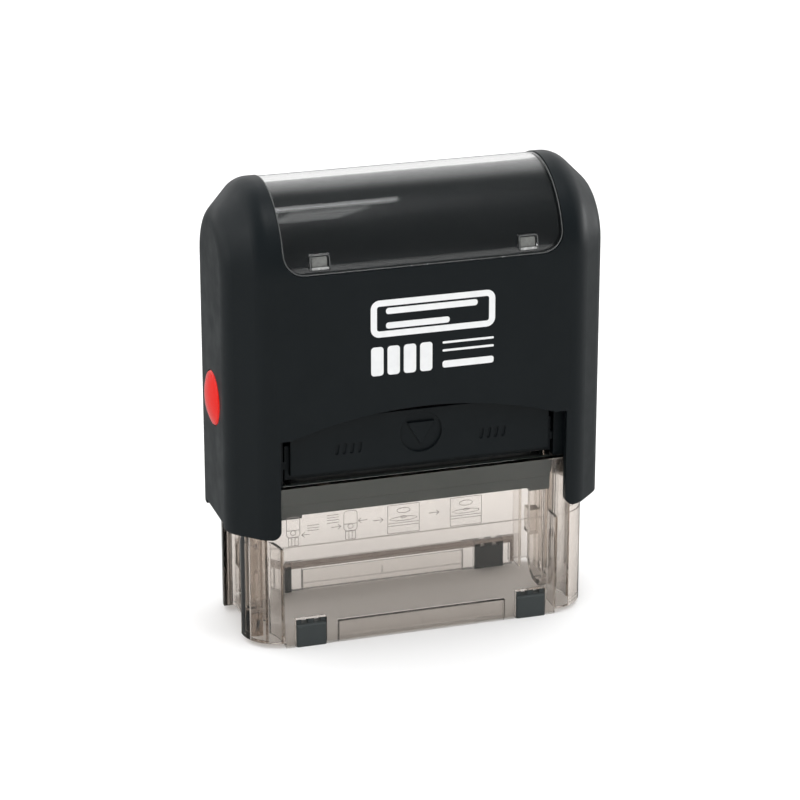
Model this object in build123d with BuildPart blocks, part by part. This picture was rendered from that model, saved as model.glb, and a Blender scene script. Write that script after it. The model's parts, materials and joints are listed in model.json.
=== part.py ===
"""Self inking stamp: a spring-loaded cap slides down over a clear base while the
carrier between them turns over, from the ink pad above to the paper below."""

import os

from build123d import *

os.makedirs("parts", exist_ok=True)

# Axes in mm: X is the long side, -Y the front, +Z up, origin under the middle of the base.

# Cap
CAP_W = 70.8
CAP_D = 29.6
CAP_TOP = 85.2
CAP_FOOT = 22.2
END_FOOT = 22.9
ARCH_R = CAP_D / 2
ARCH_Z = CAP_TOP - ARCH_R
CAP_BEVEL = 6.0
CAP_ROUNDING = 4.8
SIDE_WALL = 1.35
END_WALL = 1.9
CAVITY_X = CAP_W / 2 - END_WALL
CAVITY_Y = CAP_D / 2 - SIDE_WALL
CAVITY_CORNER_R = 7.7
CAVITY_STEP_Z = 68.3
DOME_R = 11.9
DOME_FOOT = 60.0
DOME_BEVEL = 3.6
DOME_ROUNDING = 3.0

# Arched cut-out that shows the cartridge, front and rear
GATE_X = 26.9
GATE_SHOULDER_Z = 40.8
GATE_ARC_X = 24.8
GATE_TOP_Z = 44.8

# Clear cover and the card under it
COVER_X = 25.8
COVER_Z = 71.1
COVER_R = 14.6
COVER_INNER_R = 13.55
COVER_CORNER_R = 4.0
CARD_R = 13.35
CARD_INNER_R = 13.2
SEAT_R = 13.15
LATCH_X = 19.2
LATCH_W = 3.6
LATCH_Z = 73.3
LATCH_H = 2.6

# Base
BASE_W = 65.0
BASE_D = 26.3
BASE_TOP = 31.0
BASE_CORNER_R = 6.6
STEP_Z = 19.8
STEP_IN = 0.12
WALL_Y = 11.58
ROOM_X = 28.7
RIB_X = 25.85
RIB_T = 0.5
RIB_TOP = 19.0
RECESS_X = 30.3
RECESS_Y = 6.3
POST_X = 30.9
POST_Y = 7.9
POST_CORNER_R = 5.6
CORNER_LIFT = 1.0
MIDDLE_X = 25.85

LEDGE_X = 25.9
LEDGE_Y = 10.95
LEDGE_TOP = 6.3
LEDGE_FOOT = 0.8

# Axle travel
AXLE_Z = 26.3
TRAVEL = 21.1
AXLE_LOW_Z = AXLE_Z - TRAVEL
PIN_R = 1.5
PIN_END_X = 33.0
SLOT_HALF = 1.7
RIM_INNER_R = 3.3
RIM_OUTER_R = 4.5
RIM_X = 26.4

# Feet and the small windows between them
FOOT_X = 21.1
FOOT_W = 5.8
FOOT_H = 5.4
WINDOW_X = 16.0
WINDOW_H = 4.2
WINDOW_T = 1.2
WINDOW_GAP = 0.14
FOOT_STEP = 0.7
FOOT_STEP_H = 1.1
NOTCH_HALF = 0.6
NOTCH_H = 1.0

# Pad frame and cartridge
BLOCK_X = 25.6
BLOCK_OUTER_X = 30.4
BLOCK_Y = 11.4
DECK_Y = 10.6
DECK_Z = 44.4
DECK_TOP = 46.0
TRAY_X = 25.2
TRAY_Y = 10.9
TRAY_Z = 32.0
TRAY_TOP = 38.5
RAIL_Z = 34.75
RAIL_H = 1.5
RAIL_X = 26.2
PLATE_X = 24.4
PLATE_Z = 33.0
PLATE_TOP = 43.3
PLATE_Y = 12.1
DIMPLE_Z = 38.9
DIMPLE_R = 3.9
MARK_X = 13.6
MARK_Z = 37.2
PAD_X = 24.1
PAD_Y = 10.0
PAD_Z = 31.7
PAD_TOP = 37.0

# Yoke and springs
YOKE_Z = 68.5
YOKE_TOP = 71.0
YOKE_Y = 6.3
LEG_X = 30.8
LEG_OUTER_X = 33.2
LEG_Y = 5.0
LEG_FOOT = 23.3
SPRING_X = 14.0
SPRING_R = 3.6
SPRING_WIRE = 0.8
SPRING_TURNS = 8
CUP_BORE_R = 5.0
CUP_R = 6.2
CUP_CEILING = 78.6
CUP_TOP = 80.0

# Lock buttons
BUTTON_Z = 45.0
BUTTON_R = 5.0
BUTTON_END_X = 36.6
BUTTON_DOME_R = 12.0
FLANGE_R = 5.8
STEM_R = 2.3

# Carrier, with the text plate on it
BAR_X = 25.5
BAR_Y = 9.5
BAR_Z = 24.5
BAR_TOP = 28.5
BAR_END_X = 21.8
BAR_END_Z = 23.6
LIP_Y = 9.7
LIP_TOP = 30.3
EAR_X = 26.2
EAR_Y = 5.0
HUB_R = 3.0
HUB_X = 28.2
FOIL_T = 0.3
BACKING_T = 0.8
DIE_TOP = 31.0
DIE_X = 23.5
DIE_Y = 9.0
RELIEF = 0.6


def block(x0, x1, y0, y1, z0, z1, mode=Mode.ADD):
    """A box from its lowest to its highest corner, in the part being built."""
    with Locations(((x0 + x1) / 2, (y0 + y1) / 2, (z0 + z1) / 2)):
        Box(x1 - x0, y1 - y0, z1 - z0, mode=mode)


def x_disc(x0, x1, y, z, radius, mode=Mode.ADD):
    """A cylinder along X from x0 to x1, in the part being built."""
    with Locations(Location(((x0 + x1) / 2, y, z), (0, 90, 0))):
        Cylinder(radius, abs(x1 - x0), mode=mode)


def arched_block(half_x, radius, foot, bevel, rounding):
    """A block along X with a semicircular top and softly bevelled ends."""
    with BuildPart(mode=Mode.PRIVATE) as arched:
        with BuildSketch(Plane.YZ):
            with Locations((0, (foot + ARCH_Z) / 2)):
                Rectangle(2 * radius, ARCH_Z - foot)
            with Locations((0, ARCH_Z)):
                Circle(radius)
        extrude(amount=half_x, both=True)
        ends = arched.faces().filter_by(Axis.X).edges()
        chamfer(ends.filter_by(lambda e: e.center().Z > foot + 0.1), length=bevel)
        raised = arched.edges().filter_by(lambda e: e.center().Z > foot + 0.1)
        fillet(raised.filter_by(lambda e: e.bounding_box().size.X < 0.001), radius=rounding)
    return arched.part


def save(built, label):
    built.part.label = label
    export_step(built.part, f"parts/{label}.step")


# ---- Base body ----

with BuildPart() as base_frame:
    with BuildSketch():
        RectangleRounded(BASE_W, BASE_D, BASE_CORNER_R)
    extrude(amount=STEP_Z)
    with BuildSketch(Plane.XY.offset(STEP_Z)):
        RectangleRounded(
            BASE_W - 2 * STEP_IN, BASE_D - 2 * STEP_IN, BASE_CORNER_R - STEP_IN
        )
    extrude(amount=BASE_TOP - STEP_Z)
    with BuildSketch():
        Rectangle(2 * ROOM_X, 2 * WALL_Y)
        with BuildSketch(mode=Mode.PRIVATE) as posts:
            RectangleRounded(2 * POST_X, 2 * WALL_Y, POST_CORNER_R)
            Rectangle(2 * POST_X, 2 * POST_Y, mode=Mode.SUBTRACT)
        add(posts.sketch)
    extrude(amount=BASE_TOP, mode=Mode.SUBTRACT)
    for side in (-1, 1):
        outer = side * BASE_W
        inner = side * RECESS_X
        block(min(inner, outer), max(inner, outer), -RECESS_Y, RECESS_Y, 0, BASE_TOP, Mode.SUBTRACT)
        # U-shaped rim that guides the hub, open at the top
        with BuildSketch(Plane.YZ.offset(side * RIM_X)):
            with Locations((0, AXLE_LOW_Z)):
                Circle(RIM_OUTER_R)
            with Locations((0, (AXLE_LOW_Z + BASE_TOP) / 2)):
                Rectangle(2 * RIM_OUTER_R, BASE_TOP - AXLE_LOW_Z)
            with Locations((0, AXLE_LOW_Z)):
                Circle(RIM_INNER_R, mode=Mode.SUBTRACT)
            with Locations((0, (AXLE_LOW_Z + BASE_TOP) / 2)):
                Rectangle(2 * RIM_INNER_R, BASE_TOP - AXLE_LOW_Z, mode=Mode.SUBTRACT)
        extrude(amount=side * (ROOM_X - RIM_X + 0.1))
        # Ribs that shut off the hollow corners
        for walls in ((-WALL_Y - 0.1, -POST_Y), (POST_Y, WALL_Y + 0.1)):
            rib = sorted((side * RIB_X, side * (RIB_X + RIB_T)))
            block(rib[0], rib[1], walls[0], walls[1], CORNER_LIFT, RIB_TOP)
        # Lug that turns the carrier over
        lug = sorted((side * 26.6, side * (ROOM_X + 0.1)))
        block(lug[0], lug[1], 4.6, 7.0, 9.0, 14.0)
        # Slot for the axle pin
        x_disc(side * 28.0, side * 31.0, 0, AXLE_LOW_Z - 0.1, SLOT_HALF, Mode.SUBTRACT)
        slot = sorted((side * 28.0, side * 31.0))
        block(slot[0], slot[1], -SLOT_HALF, SLOT_HALF, AXLE_LOW_Z - 0.1, BASE_TOP, Mode.SUBTRACT)
        # The corners stand clear of the table
        lift = sorted((side * MIDDLE_X, side * BASE_W))
        block(lift[0], lift[1], -BASE_D, BASE_D, 0, CORNER_LIFT, Mode.SUBTRACT)
        # Openings in the front and rear walls for the feet
        for x in (-FOOT_X, FOOT_X):
            walls = sorted((side * WALL_Y, side * BASE_D))
            block(
                x - FOOT_W / 2, x + FOOT_W / 2, walls[0], walls[1], 0, FOOT_H, Mode.SUBTRACT
            )
        ledge = sorted((side * (BASE_D / 2 - WINDOW_T - 0.05), side * BASE_D))
        block(-WINDOW_X, WINDOW_X, ledge[0], ledge[1], 0, WINDOW_H, Mode.SUBTRACT)
    # Ledge along the inside of the rear wall, turned down at its ends
    block(-LEDGE_X, LEDGE_X, LEDGE_Y, WALL_Y + 0.1, FOOT_H, LEDGE_TOP)
    for x in (-LEDGE_X, LEDGE_X - 0.9):
        block(x, x + 0.9, LEDGE_Y, WALL_Y + 0.1, LEDGE_FOOT, LEDGE_TOP)
    # Scribed line beside each corner
    with Locations(
        *[(x, y, 2.9) for x in (-MIDDLE_X, MIDDLE_X) for y in (-BASE_D / 2, BASE_D / 2)]
    ):
        Box(0.3, 0.3, 3.8, mode=Mode.SUBTRACT)
save(base_frame, "base_frame")

for label, side in (("front_window", -1), ("rear_window", 1)):
    with BuildPart() as window:
        pane = sorted((side * (BASE_D / 2 - WINDOW_T), side * BASE_D / 2))
        block(
            -WINDOW_X + WINDOW_GAP, WINDOW_X - WINDOW_GAP, pane[0], pane[1], 0, WINDOW_H - WINDOW_GAP
        )
        # Alignment line with a tick at its middle
        face_y = side * BASE_D / 2
        block(-WINDOW_X, WINDOW_X, face_y - 0.15, face_y + 0.15, 0.95, 1.15, Mode.SUBTRACT)
        block(-0.12, 0.12, face_y - 0.15, face_y + 0.15, 1.15, 2.6, Mode.SUBTRACT)
    save(window, label)

for y_name, y_side in (("front", -1), ("rear", 1)):
    for x_name, x_side in (("left", -1), ("right", 1)):
        with BuildPart() as foot:
            x = x_side * FOOT_X
            sole = sorted((y_side * 11.3, y_side * (BASE_D / 2 + 0.2)))
            block(
                x - FOOT_W / 2 + 0.06, x + FOOT_W / 2 - 0.06, sole[0], sole[1], 0, FOOT_H - 0.06
            )
            # Step along the top of the outer face
            step = sorted((y_side * (BASE_D / 2 + 0.2 - FOOT_STEP), y_side * BASE_D))
            block(x - FOOT_W, x + FOOT_W, step[0], step[1], FOOT_H - FOOT_STEP_H, FOOT_H, Mode.SUBTRACT)
            outer_face = foot.faces().sort_by(Axis.Y)[-1 if y_side > 0 else 0]
            chamfer(outer_face.edges().sort_by(Axis.Z)[1:], length=0.3)
            # Two notches that grip the edge of the wall's opening
            for notch_x in (x - 1.2, x + 1.2):
                block(
                    notch_x - NOTCH_HALF, notch_x + NOTCH_HALF, -BASE_D, BASE_D,
                    FOOT_H - NOTCH_H, FOOT_H, Mode.SUBTRACT,
                )
        save(foot, f"{y_name}_{x_name}_foot")

with BuildPart() as pad_frame:
    for side in (-1, 1):
        ends = sorted((side * BLOCK_X, side * BLOCK_OUTER_X))
        block(ends[0], ends[1], -BLOCK_Y, BLOCK_Y, BASE_TOP, DECK_TOP)
        # Groove in which the cartridge slides, open at the rear
        groove = sorted((side * BLOCK_X, side * (RAIL_X + 0.3)))
        block(
            groove[0], groove[1], -TRAY_Y - 0.05, BLOCK_Y,
            RAIL_Z - RAIL_H / 2 - 0.2, RAIL_Z + RAIL_H / 2 + 0.2, Mode.SUBTRACT,
        )
    block(-BLOCK_X, BLOCK_X, -DECK_Y, DECK_Y, DECK_Z, DECK_TOP)
    # Posts that centre the springs
    with Locations((-SPRING_X, 0, DECK_TOP + 4), (SPRING_X, 0, DECK_TOP + 4)):
        Cylinder(2.6, 8.0)
    fillet(pad_frame.faces().sort_by(Axis.Z)[-2:].edges(), radius=0.8)
save(pad_frame, "pad_frame")

with BuildPart() as cartridge_tray:
    block(-TRAY_X, TRAY_X, -TRAY_Y, TRAY_Y, TRAY_Z, TRAY_TOP)
    block(
        -RAIL_X, RAIL_X, -TRAY_Y, TRAY_Y, RAIL_Z - RAIL_H / 2, RAIL_Z + RAIL_H / 2
    )
    block(
        -PAD_X - 0.1, PAD_X + 0.1, -PAD_Y - 0.05, PAD_Y + 0.05, TRAY_Z, PAD_TOP + 0.1, Mode.SUBTRACT
    )
    for side in (-1, 1):
        plate = sorted((side * TRAY_Y, side * PLATE_Y))
        block(-PLATE_X, PLATE_X, plate[0], plate[1], PLATE_Z, PLATE_TOP)
        # Round thumb recess with a raised arrow
        with BuildSketch(Plane.XZ.offset(-side * PLATE_Y)):
            with Locations((0, DIMPLE_Z)):
                Circle(DIMPLE_R)
                with Locations((0, 0.4)):
                    RegularPolygon(2.9, 3, rotation=-90, mode=Mode.SUBTRACT)
        extrude(amount=side * 0.5, mode=Mode.SUBTRACT)
        # Grip marks on both sides of it
        with BuildSketch(Plane.XZ.offset(-side * PLATE_Y)):
            with Locations((-MARK_X, MARK_Z), (MARK_X, MARK_Z)):
                with GridLocations(1.4, 1, 4, 1):
                    SlotOverall(2.0, 0.6, rotation=80)
        extrude(amount=side * 0.25, mode=Mode.SUBTRACT)
save(cartridge_tray, "cartridge_tray")

with BuildPart() as ink_pad:
    block(-PAD_X, PAD_X, -PAD_Y, PAD_Y, PAD_Z, PAD_TOP)
    fillet(ink_pad.edges().filter_by(Axis.Z), radius=1.0)
save(ink_pad, "ink_pad")

# ---- Cap body ----

with BuildPart() as cap_shell:
    add(arched_block(CAP_W / 2, ARCH_R, CAP_FOOT, CAP_BEVEL, CAP_ROUNDING))
    # Hollow: straight where the base runs, domed above
    with BuildSketch(Plane.XY.offset(CAP_FOOT)):
        RectangleRounded(2 * CAVITY_X, 2 * CAVITY_Y, CAVITY_CORNER_R)
    extrude(amount=CAVITY_STEP_Z - CAP_FOOT, mode=Mode.SUBTRACT)
    add(arched_block(CAVITY_X, DOME_R, DOME_FOOT, DOME_BEVEL, DOME_ROUNDING), mode=Mode.SUBTRACT)
    # Arched gate through the front and rear walls
    with BuildSketch(Plane.XZ):
        with BuildLine():
            Polyline(
                (-GATE_ARC_X, GATE_SHOULDER_Z),
                (-GATE_X, GATE_SHOULDER_Z),
                (-GATE_X, CAP_FOOT),
                (GATE_X, CAP_FOOT),
                (GATE_X, GATE_SHOULDER_Z),
                (GATE_ARC_X, GATE_SHOULDER_Z),
            )
            ThreePointArc(
                (GATE_ARC_X, GATE_SHOULDER_Z), (0, GATE_TOP_Z), (-GATE_ARC_X, GATE_SHOULDER_Z)
            )
        make_face()
    extrude(amount=CAP_D, both=True, mode=Mode.SUBTRACT)
    # Seat for the card and the clear cover
    with BuildPart(mode=Mode.PRIVATE) as seat:
        with BuildSketch(Plane.XZ):
            with Locations((0, COVER_Z + 20 - 0.1)):
                RectangleRounded(2 * COVER_X + 0.2, 40, COVER_CORNER_R)
        extrude(amount=CAP_D, both=True)
        x_disc(-CAP_W, CAP_W, 0, ARCH_Z, SEAT_R, Mode.SUBTRACT)
    add(seat.part, mode=Mode.SUBTRACT)
    for side in (-1, 1):
        x_disc(side * (CAVITY_X - 1), side * CAP_W / 2, 0, BUTTON_Z, BUTTON_R + 0.1, Mode.SUBTRACT)
        wall = sorted((side * CAVITY_X, side * CAP_W))
        block(
            wall[0], wall[1], -CAP_BEVEL, CAP_BEVEL, CAP_FOOT, END_FOOT, Mode.SUBTRACT
        )
    inner_feet = (
        cap_shell.edges()
        .filter_by(Axis.Y)
        .filter_by(lambda e: abs(e.center().Z - CAP_FOOT) < 0.01)
        .filter_by(lambda e: abs(abs(e.center().X) - GATE_X) < 0.01)
    )
    fillet(inner_feet, radius=1.7)
save(cap_shell, "cap_shell")

with BuildPart() as index_card:
    x_disc(-COVER_X, COVER_X, 0, ARCH_Z, CARD_R)
    x_disc(-COVER_X, COVER_X, 0, ARCH_Z, CARD_INNER_R, Mode.SUBTRACT)
    with BuildSketch(Plane.XZ):
        with Locations((0, COVER_Z + 20)):
            RectangleRounded(2 * COVER_X - 0.6, 40, COVER_CORNER_R)
    extrude(amount=CAP_D, both=True, mode=Mode.INTERSECT)
save(index_card, "index_card")

with BuildPart() as yoke:
    block(-CAVITY_X, CAVITY_X, -YOKE_Y, YOKE_Y, YOKE_Z, YOKE_TOP)
    for side in (-1, 1):
        leg = sorted((side * LEG_X, side * LEG_OUTER_X))
        block(leg[0], leg[1], -LEG_Y, LEG_Y, LEG_FOOT, YOKE_TOP)
    fillet(
        yoke.edges().filter_by(Axis.X).group_by(Axis.Z)[0],
        radius=2.0,
    )
    for side in (-1, 1):
        x_disc(side * (LEG_X - 1), side * (LEG_OUTER_X + 1), 0, AXLE_Z, PIN_R + 0.06, Mode.SUBTRACT)
        x_disc(side * 31.6, side * (LEG_OUTER_X + 1), 0, BUTTON_Z, 6.0, Mode.SUBTRACT)
        x_disc(side * (LEG_X - 1), side * 32, 0, BUTTON_Z, STEM_R + 0.3, Mode.SUBTRACT)
        with Locations((side * SPRING_X, 0, (YOKE_TOP + CUP_TOP) / 2)):
            Cylinder(CUP_R, CUP_TOP - YOKE_TOP)
        with Locations((side * SPRING_X, 0, (YOKE_Z + CUP_CEILING) / 2)):
            Cylinder(CUP_BORE_R, CUP_CEILING - YOKE_Z, mode=Mode.SUBTRACT)
    # Ribs that stiffen the crossbar
    for y in (-YOKE_Y + 0.75, YOKE_Y - 0.75):
        block(-28.0, 28.0, y - 0.75, y + 0.75, YOKE_TOP, YOKE_TOP + 2.5)
save(yoke, "yoke")

SPRING_LOW = DECK_TOP + SPRING_WIRE / 2 + 0.05
SPRING_HIGH = CUP_CEILING - SPRING_WIRE / 2 - 0.05
for label, x in (("left_spring", -SPRING_X), ("right_spring", SPRING_X)):
    with BuildPart() as spring:
        with BuildLine():
            coil = Helix(
                pitch=(SPRING_HIGH - SPRING_LOW) / SPRING_TURNS,
                height=SPRING_HIGH - SPRING_LOW,
                radius=SPRING_R,
                center=(x, 0, SPRING_LOW),
            )
        with BuildSketch(Plane(origin=coil @ 0, z_dir=coil % 0)):
            Circle(SPRING_WIRE / 2)
        sweep(is_frenet=True)
    save(spring, label)

# ---- Lock buttons, one body each ----

with BuildPart() as left_button:
    x_disc(-BUTTON_END_X, -33.4, 0, BUTTON_Z, BUTTON_R)
    with Locations((BUTTON_DOME_R - BUTTON_END_X, 0, BUTTON_Z)):
        Sphere(BUTTON_DOME_R, mode=Mode.INTERSECT)
    fillet(left_button.edges().filter_by(GeomType.CIRCLE).sort_by(Axis.X)[0], radius=0.5)
    x_disc(-33.4, -32.9, 0, BUTTON_Z, FLANGE_R)
    x_disc(-32.9, -31.75, 0, BUTTON_Z, STEM_R)
save(left_button, "left_button")

with BuildPart() as right_button:
    mirror(left_button.part, about=Plane.YZ)
save(right_button, "right_button")

# ---- Clear cover, which lifts off the cap ----

with BuildPart() as clear_cover:
    x_disc(-COVER_X, COVER_X, 0, ARCH_Z, COVER_R)
    x_disc(-COVER_X, COVER_X, 0, ARCH_Z, COVER_INNER_R, Mode.SUBTRACT)
    with BuildSketch(Plane.XZ):
        with Locations((0, COVER_Z + 20)):
            RectangleRounded(2 * COVER_X, 40, COVER_CORNER_R)
        with Locations((-LATCH_X, LATCH_Z), (LATCH_X, LATCH_Z)):
            Rectangle(LATCH_W, LATCH_H, mode=Mode.SUBTRACT)
    extrude(amount=CAP_D, both=True, mode=Mode.INTERSECT)
save(clear_cover, "clear_cover")

# ---- Carrier body, which turns on the axle ----

with BuildPart() as die_carrier:
    block(-BAR_X, BAR_X, -BAR_Y, BAR_Y, BAR_Z, BAR_TOP)
    # Deeper ends, where the axles go in
    for ends in ((-BAR_X, -BAR_END_X), (BAR_END_X, BAR_X)):
        block(ends[0], ends[1], -BAR_Y, BAR_Y, BAR_END_Z, BAR_TOP)
    fillet(die_carrier.edges().filter_by(Axis.X).group_by(Axis.Z)[0], radius=0.8)
    # Lips in front of and behind the text plate
    for side in (-1, 1):
        lip = sorted((side * (DIE_Y + 0.1), side * LIP_Y))
        block(-BAR_X, BAR_X, lip[0], lip[1], BAR_Z + 2, LIP_TOP)
    for side in (-1, 1):
        ear = sorted((side * BAR_X, side * EAR_X))
        block(ear[0], ear[1], -EAR_Y, EAR_Y, AXLE_Z - 2.9, AXLE_Z + 1.2)
        x_disc(side * EAR_X, side * HUB_X, 0, AXLE_Z, HUB_R)
        x_disc(side * 22.0, side * HUB_X, 0, AXLE_Z, PIN_R + 0.02, Mode.SUBTRACT)
    # Pockets between the ribs underneath
    with Locations(*[(x, y, BAR_Z + 0.9) for x in (-14.4, -4.8, 4.8, 14.4) for y in (-4.3, 4.3)]):
        Box(8.2, 7.2, 1.8, mode=Mode.SUBTRACT)
save(die_carrier, "die_carrier")

for label, side in (("left_axle", -1), ("right_axle", 1)):
    with BuildPart() as axle:
        x_disc(side * 22.1, side * PIN_END_X, 0, AXLE_Z, PIN_R)
        tip = axle.edges().sort_by(Axis.X)[-1 if side > 0 else 0]
        chamfer(tip, length=0.3)
    save(axle, label)

with BuildPart() as adhesive_foil:
    block(-DIE_X, DIE_X, -DIE_Y, DIE_Y, BAR_TOP, BAR_TOP + FOIL_T)
save(adhesive_foil, "adhesive_foil")

with BuildPart() as text_plate:
    block(-DIE_X, DIE_X, -DIE_Y, DIE_Y, BAR_TOP + FOIL_T, BAR_TOP + FOIL_T + BACKING_T)
save(text_plate, "text_plate")

with BuildPart() as rubber_die:
    block(
        -DIE_X, DIE_X, -DIE_Y, DIE_Y, BAR_TOP + FOIL_T + BACKING_T, DIE_TOP - RELIEF
    )
    # Raised printing relief: a ruled frame with plain bars inside it
    with BuildSketch(Plane.XY.offset(DIE_TOP - RELIEF)):
        RectangleRounded(2 * DIE_X - 1.2, 2 * DIE_Y - 1.2, 1.5)
        RectangleRounded(2 * DIE_X - 2.8, 2 * DIE_Y - 2.8, 1.0, mode=Mode.SUBTRACT)
        for row, width in ((5.0, 30.0), (1.7, 38.0), (-1.7, 38.0), (-5.0, 22.0)):
            with Locations((0, row)):
                SlotOverall(width, 1.3)
    extrude(amount=RELIEF)
save(rubber_die, "rubber_die")
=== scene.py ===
import json
import math

import bmesh
import bpy
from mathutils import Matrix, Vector


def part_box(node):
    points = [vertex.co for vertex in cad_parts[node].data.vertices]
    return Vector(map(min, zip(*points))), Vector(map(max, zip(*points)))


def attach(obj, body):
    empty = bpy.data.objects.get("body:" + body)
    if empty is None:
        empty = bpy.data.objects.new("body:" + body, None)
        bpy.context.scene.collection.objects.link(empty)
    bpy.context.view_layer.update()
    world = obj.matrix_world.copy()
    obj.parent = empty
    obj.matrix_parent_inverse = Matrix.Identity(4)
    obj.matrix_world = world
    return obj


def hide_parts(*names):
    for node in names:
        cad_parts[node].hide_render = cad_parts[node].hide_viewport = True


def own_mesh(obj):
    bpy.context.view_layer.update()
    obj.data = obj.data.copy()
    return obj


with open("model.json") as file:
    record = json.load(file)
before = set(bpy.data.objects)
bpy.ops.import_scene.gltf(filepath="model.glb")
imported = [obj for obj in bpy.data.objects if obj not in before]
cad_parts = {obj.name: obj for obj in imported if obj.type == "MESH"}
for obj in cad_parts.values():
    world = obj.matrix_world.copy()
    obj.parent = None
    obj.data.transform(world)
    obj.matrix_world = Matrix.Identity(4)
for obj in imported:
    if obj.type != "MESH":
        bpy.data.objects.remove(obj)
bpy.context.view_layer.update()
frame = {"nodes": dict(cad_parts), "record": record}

MM = 0.001
PLASTIC_IOR = 1.49


# ---------------------------------------------------------------- materials


def new_material(name):
    """A new material, with its node tree, its Principled shader and its output."""
    material = bpy.data.materials.new(name)
    material.use_nodes = True
    tree = material.node_tree
    tree.nodes.clear()
    output = tree.nodes.new("ShaderNodeOutputMaterial")
    shader = tree.nodes.new("ShaderNodeBsdfPrincipled")
    tree.links.new(shader.outputs[0], output.inputs["Surface"])
    return material, tree, shader, output


def noise(tree, scale, detail=3.0, stretch=(1, 1, 1)):
    """Object-space noise, with scale in features per metre."""
    coords = tree.nodes.new("ShaderNodeTexCoord")
    mapping = tree.nodes.new("ShaderNodeMapping")
    mapping.inputs["Scale"].default_value = stretch
    texture = tree.nodes.new("ShaderNodeTexNoise")
    texture.inputs["Scale"].default_value = scale
    texture.inputs["Detail"].default_value = detail
    tree.links.new(coords.outputs["Object"], mapping.inputs["Vector"])
    tree.links.new(mapping.outputs[0], texture.inputs["Vector"])
    return texture.outputs["Fac"]


def remap(tree, value, low, high, from_low=0.3, from_high=0.7):
    """value spread from low to high."""
    node = tree.nodes.new("ShaderNodeMapRange")
    node.inputs["From Min"].default_value = from_low
    node.inputs["From Max"].default_value = from_high
    node.inputs["To Min"].default_value = low
    node.inputs["To Max"].default_value = high
    tree.links.new(value, node.inputs["Value"])
    return node.outputs[0]


def mix_color(tree, factor, first, second):
    """first where factor is 0, second where it is 1."""
    node = tree.nodes.new("ShaderNodeMix")
    node.data_type = "RGBA"
    node.inputs["A"].default_value = (*first, 1)
    node.inputs["B"].default_value = (*second, 1)
    tree.links.new(factor, node.inputs["Factor"])
    return node.outputs["Result"]


def grain_bump(tree, shader, height, distance, strength, edge_radius=0.25 * MM):
    """Moulding grain over softly rounded edges."""
    edge = tree.nodes.new("ShaderNodeBevel")
    edge.samples = 6
    edge.inputs["Radius"].default_value = edge_radius
    bump = tree.nodes.new("ShaderNodeBump")
    bump.inputs["Distance"].default_value = distance
    bump.inputs["Strength"].default_value = strength
    tree.links.new(height, bump.inputs["Height"])
    tree.links.new(edge.outputs[0], bump.inputs["Normal"])
    tree.links.new(bump.outputs[0], shader.inputs["Normal"])


def moulded(
    name, dark, light, roughness, grain=2600, depth=0.02 * MM, strength=0.5, coat=0.0, specular=0.5
):
    """Moulded plastic or rubber: fine grain, faint flow marks and uneven gloss."""
    material, tree, shader, _ = new_material(name)
    flow = noise(tree, 55, detail=4.0, stretch=(1, 1, 0.4))
    tree.links.new(mix_color(tree, flow, dark, light), shader.inputs["Base Color"])
    gloss = noise(tree, 240, detail=2.0)
    tree.links.new(
        remap(tree, gloss, roughness * 0.88, roughness * 1.12), shader.inputs["Roughness"]
    )
    shader.inputs["Coat Weight"].default_value = coat
    shader.inputs["Coat Roughness"].default_value = 0.06
    shader.inputs["Specular IOR Level"].default_value = specular
    grain_bump(tree, shader, noise(tree, grain, detail=2.0), depth, strength)
    return material


def clear(name, tint, roughness, shade, absorbed, density, edge_radius=0.2 * MM):
    """Clear plastic that bends light, darkens with its thickness and lets lamps through."""
    material, tree, shader, output = new_material(name)
    tree.links.new(
        mix_color(tree, noise(tree, 35), [c * 0.985 for c in tint], tint),
        shader.inputs["Base Color"],
    )
    shader.inputs["Transmission Weight"].default_value = 1.0
    shader.inputs["IOR"].default_value = PLASTIC_IOR
    tree.links.new(
        remap(tree, noise(tree, 300), roughness * 0.7, roughness * 1.3),
        shader.inputs["Roughness"],
    )
    grain_bump(tree, shader, noise(tree, 90), 0.02 * MM, 0.15, edge_radius)
    passes = tree.nodes.new("ShaderNodeBsdfTransparent")
    passes.inputs[0].default_value = (*shade, 1)
    path = tree.nodes.new("ShaderNodeLightPath")
    mixed = tree.nodes.new("ShaderNodeMixShader")
    tree.links.new(path.outputs["Is Shadow Ray"], mixed.inputs[0])
    tree.links.new(shader.outputs[0], mixed.inputs[1])
    tree.links.new(passes.outputs[0], mixed.inputs[2])
    tree.links.new(mixed.outputs[0], output.inputs["Surface"])
    depth = tree.nodes.new("ShaderNodeVolumeAbsorption")
    depth.inputs["Color"].default_value = (*absorbed, 1)
    depth.inputs["Density"].default_value = density
    tree.links.new(depth.outputs[0], output.inputs["Volume"])
    return material


def ink(name, color, roughness=0.5):
    """Pad-printed or etched marks, a little uneven in density."""
    material, tree, shader, _ = new_material(name)
    tree.links.new(
        mix_color(tree, noise(tree, 900, detail=3.0), [c * 0.9 for c in color], color),
        shader.inputs["Base Color"],
    )
    tree.links.new(
        remap(tree, noise(tree, 400), roughness * 0.85, roughness * 1.15),
        shader.inputs["Roughness"],
    )
    return material


def painted_highlight(name, color, see_through, roughness):
    """A pale, partly see-through colour: painted highlight for the light that edges of clear plastic
    catch.
    """
    material, tree, shader, _ = new_material(name)
    cloud = noise(tree, 1400, detail=4.0)
    tree.links.new(
        mix_color(tree, cloud, [c * 0.45 for c in color], color), shader.inputs["Base Color"]
    )
    shader.inputs["Transmission Weight"].default_value = see_through
    shader.inputs["IOR"].default_value = PLASTIC_IOR
    tree.links.new(remap(tree, cloud, roughness * 0.6, roughness * 1.4), shader.inputs["Roughness"])
    grain_bump(tree, shader, cloud, 0.05 * MM, 0.5, 0.1 * MM)
    return material


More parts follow.
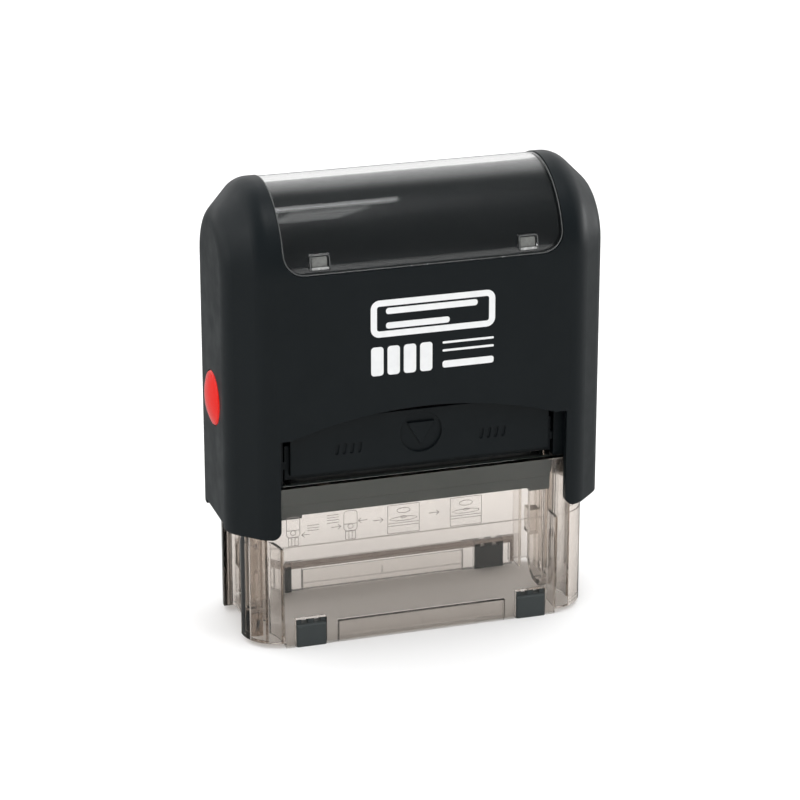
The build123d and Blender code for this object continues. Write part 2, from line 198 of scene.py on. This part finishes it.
def steel(name):
    """Drawn steel wire and pins."""
    material, tree, shader, _ = new_material(name)
    streaks = noise(tree, 500, detail=4.0, stretch=(0.15, 1, 1))
    tree.links.new(
        mix_color(tree, streaks, (0.46, 0.46, 0.47), (0.66, 0.66, 0.67)),
        shader.inputs["Base Color"],
    )
    shader.inputs["Metallic"].default_value = 1.0
    tree.links.new(remap(tree, streaks, 0.2, 0.38), shader.inputs["Roughness"])
    return material


def felt(name):
    """Ink-soaked felt: matt fibres over darker and lighter patches."""
    material, tree, shader, _ = new_material(name)
    tree.links.new(
        mix_color(tree, noise(tree, 400, detail=6.0), (0.008, 0.008, 0.012), (0.03, 0.03, 0.04)),
        shader.inputs["Base Color"],
    )
    shader.inputs["Roughness"].default_value = 0.95
    shader.inputs["Sheen Weight"].default_value = 0.3
    grain_bump(tree, shader, noise(tree, 3000, detail=5.0), 0.15 * MM, 0.8)
    return material


BLACK = moulded(
    "black_plastic", (0.0045, 0.0070, 0.0085), (0.0062, 0.0092, 0.0110), 0.44, specular=0.33
)
GREY = moulded("grey_plastic", (0.038, 0.052, 0.047), (0.050, 0.066, 0.060), 0.42)
RED = moulded(
    "red_plastic", (0.68, 0.009, 0.004), (0.76, 0.013, 0.007), 0.22,
    strength=0.1, coat=0.25, specular=0.2,
)
RUBBER = moulded(
    "rubber_foot", (0.040, 0.047, 0.048), (0.056, 0.064, 0.065), 0.5, strength=0.7, specular=0.4
)
DIE = moulded("die_rubber", (0.040, 0.044, 0.042), (0.054, 0.058, 0.056), 0.6)
FOIL = moulded("foil", (0.72, 0.72, 0.69), (0.82, 0.82, 0.79), 0.7)
CARD = moulded(
    "black_card", (0.007, 0.009, 0.010), (0.011, 0.013, 0.014), 0.35, strength=0.1, specular=0.4
)
SMOKY = clear(
    "smoky_clear", (0.960, 0.946, 0.934), 0.03, (0.93, 0.92, 0.91), (0.45, 0.35, 0.25), 155
)
# Strongly absorbing smoky plastic: painted shade for the dark band along the rear ledge
SHADED = clear(
    "painted_shade_ledge", (0.80, 0.77, 0.74), 0.08, (0.85, 0.83, 0.81), (0.35, 0.28, 0.24), 4500
)
SEAM = ink("dark_seam", (0.030, 0.024, 0.020), 0.5)
COVER = clear(
    "clear_plastic", (0.98, 0.985, 0.985), 0.02, (0.97, 0.97, 0.97), (0.4, 0.38, 0.34), 40
)
STEEL = steel("spring_steel")
FELT = felt("ink_felt")
PRINT = ink("white_print", (0.86, 0.87, 0.87))
ETCHED = ink("etched_line", (0.33, 0.30, 0.28), 0.6)
# Pale grey, partly see-through materials: painted highlight on the latch sills, the latch catches and
# the cover's edge
SILL_HIGHLIGHT = painted_highlight("sill_painted_highlight", (0.62, 0.63, 0.62), 0.25, 0.22)
CATCH = painted_highlight("catch_painted_highlight", (0.42, 0.43, 0.41), 0.4, 0.15)
RIM = painted_highlight("edge_painted_highlight", (0.27, 0.28, 0.28), 0.45, 0.2)

BY_SLOT = {
    "black_plastic": BLACK,
    "grey_plastic": GREY,
    "red_plastic": RED,
    "rubber_foot": RUBBER,
    "die_rubber": DIE,
    "foil": FOIL,
    "black_card": CARD,
    "smoky_clear": SMOKY,
    "clear_plastic": COVER,
    "spring_steel": STEEL,
    "ink_felt": FELT,
}


def dress(obj, material):
    """One material over the whole object."""
    obj.data.materials.clear()
    obj.data.materials.append(material)


for entry in frame["record"]["subparts"]:
    dress(frame["nodes"][entry["node"]], BY_SLOT[entry["material_slot"]])


# ---------------------------------------------------------------- mesh helpers


def piece(name, vertices, faces, material, body, smooth=False):
    """A mesh that rides on a body."""
    mesh = bpy.data.meshes.new(name)
    mesh.from_pydata([tuple(v) for v in vertices], [], faces)
    mesh.update()
    obj = bpy.data.objects.new(name, mesh)
    bpy.context.scene.collection.objects.link(obj)
    if smooth:
        mesh.shade_smooth()
    dress(obj, material)
    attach(obj, body)
    return obj


def tube(path, radius, sides=8, closed=False, outward=None):
    """Vertices and faces of a round tube along a path of points, capped where it is open."""
    vertices, faces = [], []
    count = len(path)
    side = None
    for i, point in enumerate(path):
        before = path[i - 1] if closed or i else point
        after = path[(i + 1) % count] if closed or i < count - 1 else point
        along = (after - before).normalized()
        if outward:
            side = outward[i]
        elif side is None:
            side = along.orthogonal().normalized()
        side = (side - along * side.dot(along)).normalized()
        other = along.cross(side)
        for k in range(sides):
            turn = 2 * math.pi * k / sides
            vertices.append(point + radius * (math.cos(turn) * side + math.sin(turn) * other))
    for i in range(count if closed else count - 1):
        here, there = i * sides, ((i + 1) % count) * sides
        for k in range(sides):
            nxt = (k + 1) % sides
            faces.append((here + k, here + nxt, there + nxt, there + k))
    if not closed:
        faces.append(tuple(reversed(range(sides))))
        faces.append(tuple(range((count - 1) * sides, count * sides)))
    return vertices, faces


def rounded_box(low, high, radius):
    """Vertices and faces of a box with rounded edges."""
    shape = bmesh.new()
    bmesh.ops.create_cube(shape, size=1)
    for vertex in shape.verts:
        for axis in range(3):
            middle = (low[axis] + high[axis]) / 2
            vertex.co[axis] = middle + vertex.co[axis] * (high[axis] - low[axis])
    bmesh.ops.bevel(
        shape, geom=shape.edges[:], offset=radius, segments=3, affect="EDGES", profile=0.5
    )
    vertices = [v.co.copy() for v in shape.verts]
    faces = [tuple(v.index for v in f.verts) for f in shape.faces]
    shape.free()
    return vertices, faces


# ---------------------------------------------------------------- marks drawn with flat shapes


def arc_points(cx, cy, radius, start, turn, steps=6):
    """Points along an arc, angles in degrees."""
    return [
        (
            cx + radius * math.cos(math.radians(start + turn * i / steps)),
            cy + radius * math.sin(math.radians(start + turn * i / steps)),
        )
        for i in range(steps + 1)
    ]


def rounded(cx, cy, width, height, radius):
    """The outline of a rectangle with round corners."""
    points = []
    for sx, sy, start in ((1, 1, 0), (-1, 1, 90), (-1, -1, 180), (1, -1, 270)):
        corner = (cx + sx * (width / 2 - radius), cy + sy * (height / 2 - radius))
        points += arc_points(*corner, radius, start, 90)
    return points


def framed(cx, cy, width, height, radius, line):
    """A rounded frame: an outline and the hole in it."""
    inner = max(radius - line, 0.01)
    return [
        rounded(cx, cy, width, height, radius),
        rounded(cx, cy, width - 2 * line, height - 2 * line, inner),
    ]


def stroke(x0, y0, x1, y1, line):
    """A straight line."""
    length = math.hypot(x1 - x0, y1 - y0)
    across = (-(y1 - y0) / length * line / 2, (x1 - x0) / length * line / 2)
    return [
        [
            (x0 + across[0], y0 + across[1]),
            (x1 + across[0], y1 + across[1]),
            (x1 - across[0], y1 - across[1]),
            (x0 - across[0], y0 - across[1]),
        ]
    ]


def ring(cx, cy, width, height, line):
    """An oval ring: an outline and the hole in it."""
    outlines = []
    for inset in (0, line):
        outlines.append(
            [
                (cx + (width / 2 - inset) * math.cos(a), cy + (height / 2 - inset) * math.sin(a))
                for a in (2 * math.pi * i / 28 for i in range(28))
            ]
        )
    return outlines


def front_mark(name, shapes, face_y, thickness, material, body):
    """Shapes in mm, x across and z up, as a thin raised mark on a face that looks to -Y."""
    vertices, faces = [], []
    for shape in shapes:
        curve = bpy.data.curves.new(name, "CURVE")
        curve.dimensions = "2D"
        curve.fill_mode = "BOTH"
        curve.extrude = thickness / 2
        for outline in shape:
            spline = curve.splines.new("POLY")
            spline.points.add(len(outline) - 1)
            for point, (x, z) in zip(spline.points, outline):
                point.co = (x * MM, z * MM, 0, 1)
            spline.use_cyclic_u = True
        drawn = bpy.data.objects.new(name + "_outline", curve)
        bpy.context.scene.collection.objects.link(drawn)
        graph = bpy.context.evaluated_depsgraph_get()
        flat = bpy.data.meshes.new_from_object(drawn.evaluated_get(graph))
        first = len(vertices)
        vertices += [Vector((v.co.x, face_y - v.co.z, v.co.y)) for v in flat.vertices]
        faces += [tuple(first + i for i in p.vertices) for p in flat.polygons]
        bpy.data.objects.remove(drawn)
        bpy.data.curves.remove(curve)
        bpy.data.meshes.remove(flat)
    piece(name, vertices, faces, material, body)


# ---------------------------------------------------------------- print on the cap

PRINT_LEFT = -10.2      # mm, as are all sizes of the flat marks
PRINT_RIGHT = 12.9
FRAME_LINE = 1.15
TEXT_INSET = 2.8
BLOCK_PITCH = 3.02


def cap_print():
    """A plain imprint frame over blocks and bars, in white."""
    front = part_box("cap_shell")[0].y
    middle, width = (PRINT_LEFT + PRINT_RIGHT) / 2, PRINT_RIGHT - PRINT_LEFT
    start = PRINT_LEFT + TEXT_INSET
    shapes = [framed(middle, 62.0, width, 6.9, 1.6, FRAME_LINE)]
    for z, end in ((63.35, 9.6), (60.65, 4.4)):
        shapes.append([rounded((start + end) / 2, z, end - start, FRAME_LINE, 0.5)])
    for i in range(4):
        shapes.append([rounded(PRINT_LEFT + 1.2 + BLOCK_PITCH * i, 54.1, 2.3, 5.4, 0.6)])
    for z, height, corner in ((56.4, 0.42, 0.2), (54.9, 0.42, 0.2), (52.3, 1.3, 0.45)):
        shapes.append([rounded(7.9, z, 9.6, height, corner)])
    front_mark("front_print", shapes, front + 0.01 * MM, 0.04 * MM, PRINT, "cap")


cap_print()


# ---------------------------------------------------------------- fine marks on the clear base

LINE = 0.12


def press_icon(x, z):
    """A narrow block on a sheet, pressed down."""
    return [
        framed(x, z + 3.6, 2.6, 4.0, 0.7, LINE),
        framed(x, z + 0.8, 2.0, 1.7, 0.1, LINE),
        ring(x, z + 2.5, 1.1, 1.0, LINE),
        stroke(x - 0.3, z, x - 0.3, z + 1.5, LINE),
        stroke(x + 0.3, z, x + 0.3, z + 1.5, LINE),
        stroke(x - 1.3, z + 3.0, x + 1.3, z + 3.0, LINE),
    ]


def sheet_icon(x, z):
    """A wide box with an oval and two long lines."""
    return [
        framed(x, z + 2.8, 6.1, 5.6, 0.2, LINE),
        ring(x, z + 4.4, 2.6, 1.1, LINE),
        ring(x, z + 2.8, 5.2, 0.9, LINE),
        ring(x, z + 3.1, 1.2, 0.5, LINE),
        stroke(x - 2.9, z + 2.0, x + 2.9, z + 2.0, LINE),
        stroke(x - 2.9, z + 1.5, x + 2.9, z + 1.5, LINE),
    ]


def arrow_icon(x, z, length, flip=1):
    """An arrow along X."""
    tip = x + flip * length / 2
    return [
        stroke(x - flip * length / 2, z, tip, z, LINE),
        stroke(tip, z, tip - flip * 0.6, z + 0.5, LINE),
        stroke(tip, z, tip - flip * 0.6, z - 0.5, LINE),
    ]


def sheet_stack(x, z, count):
    """A few short lines above each other."""
    return [stroke(x - 1.1, z + 0.5 * i, x + 1.1, z + 0.5 * i, LINE) for i in range(count)]


def wall_marks():
    """Pictures without words along the front wall, above its step."""
    wall_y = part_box("base_frame")[0].y + 0.12 * MM
    groups = {
        "pictogram_press": press_icon(-24.3, 20.0) + arrow_icon(-22.0, 21.9, 1.5, -1),
        "pictogram_sheets": sheet_stack(-20.6, 22.6, 3) + sheet_stack(-16.9, 23.6, 4),
        "pictogram_turn": press_icon(-13.6, 20.0)
        + arrow_icon(-16.3, 22.7, 1.8)
        + arrow_icon(-11.3, 23.4, 1.7, -1),
        "pictogram_first_box": sheet_icon(-3.6, 20.0),
        "pictogram_second_box": sheet_icon(8.3, 20.0),
        "pictogram_arrows": arrow_icon(-8.4, 23.0, 1.9) + arrow_icon(2.2, 23.2, 1.9),
    }
    for name, shapes in groups.items():
        front_mark(name, shapes, wall_y - 0.005 * MM, 0.03 * MM, ETCHED, "base")


wall_marks()


# ---------------------------------------------------------------- painted shade along the ledge, and window seams of the base

WINDOW_X = 16.0 * MM
WINDOW_TOP = 4.2 * MM
WINDOW_GAP = 0.14 * MM
LEDGE_X = 25.9 * MM
LEDGE_FACE_Y = 10.95 * MM
LEDGE_TOP = 6.3 * MM
# The band is painted shade: a dark strip laid on the ledge's face
BAND_REACH = 0.32 * MM
BAND_GAP = 0.01 * MM
BAND_HEIGHT = 1.35 * MM
BAND_END = 0.75 * MM
BAND_FOOT = 0.9 * MM
SEAM_DEPTH = 0.9 * MM
SEAM_INSET = 0.06 * MM
SEAM_FOOT = 0.3 * MM


def bars(name, boxes, radius, material, body):
    """Round-edged bars, given by their lowest and highest corners, as one piece."""
    vertices, faces = [], []
    for low, high in boxes:
        first = len(vertices)
        more, shapes = rounded_box(low, high, radius)
        vertices += more
        faces += [tuple(first + i for i in face) for face in shapes]
    piece(name, vertices, faces, material, body)


def ledge_band():
    """A dark smoky strip on the face of the ledge inside the rear wall, with its turned-down ends:
    painted shade for the darker band along the ledge.
    """
    near, far = LEDGE_FACE_Y - BAND_REACH, LEDGE_FACE_Y - BAND_GAP
    low = LEDGE_TOP - BAND_HEIGHT
    boxes = [((-LEDGE_X, near, low), (LEDGE_X, far, LEDGE_TOP))]
    for x in (-LEDGE_X, LEDGE_X - BAND_END):
        boxes.append(((x, near, BAND_FOOT), (x + BAND_END, far, low)))
    bars("rear_ledge_painted_shade", boxes, 0.12 * MM, SHADED, "base")


def window_seams():
    """The dark joint round each small window."""
    for node, side, over_top in (("front_window", -1, True), ("rear_window", 1, False)):
        low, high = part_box(node)
        face = side * max(abs(low.y), abs(high.y))
        near, far = sorted((face - side * SEAM_DEPTH, face - side * SEAM_INSET))
        gap = WINDOW_GAP * 0.95
        boxes = [
            ((x, near, SEAM_FOOT), (x + gap, far, WINDOW_TOP)) for x in (-WINDOW_X, WINDOW_X - gap)
        ]
        if over_top:
            boxes.append(((-WINDOW_X, near, WINDOW_TOP - gap), (WINDOW_X, far, WINDOW_TOP)))
        bars(f"{node}_seam", boxes, 0.02 * MM, SEAM, "base")


ledge_band()
window_seams()


# ---------------------------------------------------------------- springs


SPRING_WIRE = 0.8 * MM
SPRING_TURNS = 9.5
CLOSED_TURNS = 1.0       # at each end
STEPS_PER_TURN = 30


def compression_spring(name, node):
    """A coil with closed ends, in the place of the press's spring."""
    low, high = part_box(node)
    radius = (high.x - low.x - SPRING_WIRE) / 2
    foot, top = low.z + SPRING_WIRE / 2, high.z - SPRING_WIRE / 2
    closed_height = SPRING_WIRE * 1.04
    path = []
    for i in range(round(SPRING_TURNS * STEPS_PER_TURN) + 1):
        turn = i / STEPS_PER_TURN
        if turn <= CLOSED_TURNS:
            height = closed_height * turn
        elif turn >= SPRING_TURNS - CLOSED_TURNS:
            height = (top - foot) - closed_height * (SPRING_TURNS - turn)
        else:
            share = (turn - CLOSED_TURNS) / (SPRING_TURNS - 2 * CLOSED_TURNS)
            height = closed_height + share * (top - foot - 2 * closed_height)
        angle = 2 * math.pi * turn
        path.append(
            Vector(
                (
                    (low.x + high.x) / 2 + radius * math.cos(angle),
                    radius * math.sin(angle),
                    foot + height,
                )
            )
        )
    vertices, faces = tube(path, SPRING_WIRE / 2, sides=12)
    coil = piece(name, vertices, faces, STEEL, "base", smooth=True)
    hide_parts(node)
    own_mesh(coil)


compression_spring("left_compression_spring", "left_spring")
compression_spring("right_compression_spring", "right_spring")


# ---------------------------------------------------------------- edge and latches of the clear cover, with painted highlight

ARCH_Z = 70.4 * MM
COVER_OUTER_R = 14.6 * MM
EDGE_LINE_R = 0.10 * MM


def on_cover(x, z, radius, side):
    """A point at height z on a cylinder about the cover's axis, on the front or rear side."""
    drop = z - ARCH_Z
    return Vector((x, side * math.sqrt(max(radius * radius - drop * drop, 0)), z))


def around_cover(x, radius, z, side):
    """The same, with a vector that points away from the cover's axis."""
    point = on_cover(x, z, radius, side)
    return point, Vector((0, point.y, point.z - ARCH_Z)).normalized()


def cover_rim():
    """A thin pale tube round the clear cover's edge: painted highlight for the light the edge
    catches.
    """
    low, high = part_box("clear_cover")
    half, foot, corner = high.x - 0.1 * MM, low.z + 0.12 * MM, 3.9 * MM
    radius = COVER_OUTER_R - 0.04 * MM
    climb = ARCH_Z + radius - foot - corner
    right = [
        (half - corner + corner * math.sin(a), foot + corner - corner * math.cos(a))
        for a in (math.pi / 2 * i / 12 for i in range(13))
    ]
    right += [(half, foot + corner + climb * math.sin(math.pi / 2 * i / 28)) for i in range(1, 29)]
    bottom = [((half - corner) * (i / 10 - 1), foot) for i in range(1, 20)]
    outline = [(-x, z) for x, z in reversed(right)] + bottom + right
    placed = [around_cover(x, radius, z, -1) for x, z in outline]
    placed += [around_cover(x, radius, z, 1) for x, z in reversed(outline)][1:-1]
    path = [point for point, _ in placed]
    vertices, faces = tube(path, EDGE_LINE_R, closed=True, outward=[away for _, away in placed])
    piece("cover_rim", vertices, faces, RIM, "cover", smooth=True)


LATCH_X = 19.2 * MM
LATCH_Z = 73.3 * MM
LATCH_W = 3.6 * MM
LATCH_H = 2.6 * MM
SILL_R = 0.24 * MM
CATCH_LOW = (-1.45 * MM, 13.45 * MM, -0.95 * MM)
CATCH_HIGH = (1.45 * MM, 14.2 * MM, 0.95 * MM)
CATCH_ROUNDING = 0.25 * MM


def latches():
    """A rim, a sill and a catch in each of the cover's four holes: the pale rim and sill are painted
    highlight, and the catch, a real hook, has a cloudy grey that is painted highlight too.
    """
    for y_name, side in (("front", -1), ("rear", 1)):
        for x_name, x in (("left", -LATCH_X), ("right", LATCH_X)):
            label = f"{y_name}_{x_name}_latch"
            rim_r = COVER_OUTER_R - 0.06 * MM
            outline = rounded(0, 0, LATCH_W - 0.1 * MM, LATCH_H - 0.1 * MM, 0.45 * MM)
            placed = [around_cover(x + px, rim_r, LATCH_Z + pz, side) for px, pz in outline]
            vertices, faces = tube(
                [point for point, _ in placed], EDGE_LINE_R, closed=True,
                outward=[away for _, away in placed],
            )
            piece(f"{label}_rim", vertices, faces, RIM, "cover", smooth=True)
            foot = [
                on_cover(x + LATCH_W * (0.42 - 0.84 * i / 6), LATCH_Z - LATCH_H * 0.40, rim_r, side)
                for i in range(7)
            ]
            vertices, faces = tube(foot, SILL_R, sides=10)
            piece(f"{label}_sill", vertices, faces, SILL_HIGHLIGHT, "cover", smooth=True)
            tilt = math.asin((LATCH_Z - ARCH_Z) / COVER_OUTER_R)
            vertices, faces = rounded_box(CATCH_LOW, CATCH_HIGH, CATCH_ROUNDING)
            turned = [
                Vector(
                    (
                        x + v.x,
                        side * (v.y * math.cos(tilt) - v.z * math.sin(tilt)),
                        ARCH_Z + v.y * math.sin(tilt) + v.z * math.cos(tilt),
                    )
                )
                for v in vertices
            ]
            if side < 0:
                faces = [tuple(reversed(face)) for face in faces]
            piece(f"{label}_catch", turned, faces, CATCH, "cover", smooth=True)


cover_rim()
latches()


# ---------------------------------------------------------------- floor, light and camera


def stage_floor():
    """A wide pale floor."""
    size = 4.0
    mesh = bpy.data.meshes.new("floor")
    mesh.from_pydata(
        [(-size, -size, 0), (size, -size, 0), (size, size, 0), (-size, size, 0)],
        [], [(0, 1, 2, 3)],
    )
    floor = bpy.data.objects.new("floor", mesh)
    bpy.context.scene.collection.objects.link(floor)
    material, tree, shader, output = new_material("floor_paper")
    tree.links.new(
        mix_color(tree, noise(tree, 3), (0.90, 0.90, 0.90), (0.93, 0.93, 0.93)),
        shader.inputs["Base Color"],
    )
    shader.inputs["Roughness"].default_value = 0.9
    shader.inputs["Specular IOR Level"].default_value = 0.1
    # In reflections the floor is a grey card, so that black plastic stays black
    card = tree.nodes.new("ShaderNodeBsdfDiffuse")
    card.inputs["Color"].default_value = (0.26, 0.27, 0.27, 1)
    path = tree.nodes.new("ShaderNodeLightPath")
    reflected = tree.nodes.new("ShaderNodeMath")
    reflected.operation = "SUBTRACT"
    reflected.use_clamp = True
    tree.links.new(path.outputs["Is Glossy Ray"], reflected.inputs[0])
    tree.links.new(path.outputs["Is Transmission Ray"], reflected.inputs[1])
    mixed = tree.nodes.new("ShaderNodeMixShader")
    tree.links.new(reflected.outputs[0], mixed.inputs[0])
    tree.links.new(shader.outputs[0], mixed.inputs[1])
    tree.links.new(card.outputs[0], mixed.inputs[2])
    tree.links.new(mixed.outputs[0], output.inputs["Surface"])
    dress(floor, material)


STRIP_Z = 0.63
STRIP_FIRST_Y = -0.118
STRIP_PITCH = 0.041


def area_light(name, place, target, size, power, in_reflections=True):
    """A soft box at place, turned to target."""
    light = bpy.data.lights.new(name, "AREA")
    light.shape = "RECTANGLE"
    light.size, light.size_y = size
    light.energy = power
    lamp = bpy.data.objects.new(name, light)
    bpy.context.scene.collection.objects.link(lamp)
    lamp.location = place
    lamp.visible_glossy = in_reflections
    lamp.visible_transmission = in_reflections
    aim = Vector(target) - Vector(place)
    lamp.rotation_euler = aim.to_track_quat("-Z", "Y").to_euler()


def set_world():
    """A pale wall behind the object up to a dark ceiling, and a dark room in front."""
    world = bpy.data.worlds.new("studio")
    bpy.context.scene.world = world
    world.use_nodes = True
    tree = world.node_tree
    background = tree.nodes["Background"]
    coords = tree.nodes.new("ShaderNodeTexCoord")
    split = tree.nodes.new("ShaderNodeSeparateXYZ")
    tree.links.new(coords.outputs["Generated"], split.inputs[0])
    behind = remap(tree, split.outputs["Y"], 0.07, 1.0, -0.45, 0.25)
    below_ceiling = remap(tree, split.outputs["Z"], 1.0, 0.12, 0.76, 0.90)
    product = tree.nodes.new("ShaderNodeMath")
    product.operation = "MULTIPLY"
    tree.links.new(behind, product.inputs[0])
    tree.links.new(below_ceiling, product.inputs[1])
    tree.links.new(product.outputs[0], background.inputs["Strength"])
    background.inputs["Color"].default_value = (1, 1, 1, 1)


def make_camera():
    """A long lens, a little above the object and to its left."""
    camera = bpy.data.cameras.new("camera")
    camera.lens = 141.83
    camera.sensor_width = 36.0
    camera.clip_start = 0.05
    view = bpy.data.objects.new("camera", camera)
    bpy.context.scene.collection.objects.link(view)
    view.location = (-0.161652, -0.515181, 0.243163)
    view.rotation_euler = (math.radians(69.434), 0, math.radians(-17.403))
    bpy.context.scene.camera = view


stage_floor()
set_world()
make_camera()
bpy.context.scene.view_settings.view_transform = "Standard"
area_light("ceiling", (0.0, -0.1, 1.3), (0, 0, 0), (2.6, 2.6), 34, in_reflections=False)
area_light("front_fill", (-0.3, -1.2, 0.7), (0, 0, 0.04), (0.9, 0.7), 4, in_reflections=False)
area_light("left", (-0.9, 0.05, 0.40), (0, 0, 0.04), (0.4, 0.6), 0.62)
area_light("right", (0.9, 0.02, 0.10), (0, 0, 0.05), (0.5, 0.20), 1.6)
area_light("rear_strip", (0.08, -0.035, STRIP_Z), (0.08, -0.035, 0), (0.16, 0.055), 0.10)
# Rows of strips that fade to the right, for the streak on the cover
for row in range(4):
    y = STRIP_FIRST_Y - STRIP_PITCH * row
    for x, length, power in ((0.035, 0.07, 0.085), (0.095, 0.045, 0.018), (0.137, 0.03, 0.004)):
        area_light(f"front_strip_{row}_{x}", (x, y, STRIP_Z), (x, y, 0), (length, 0.033), power)
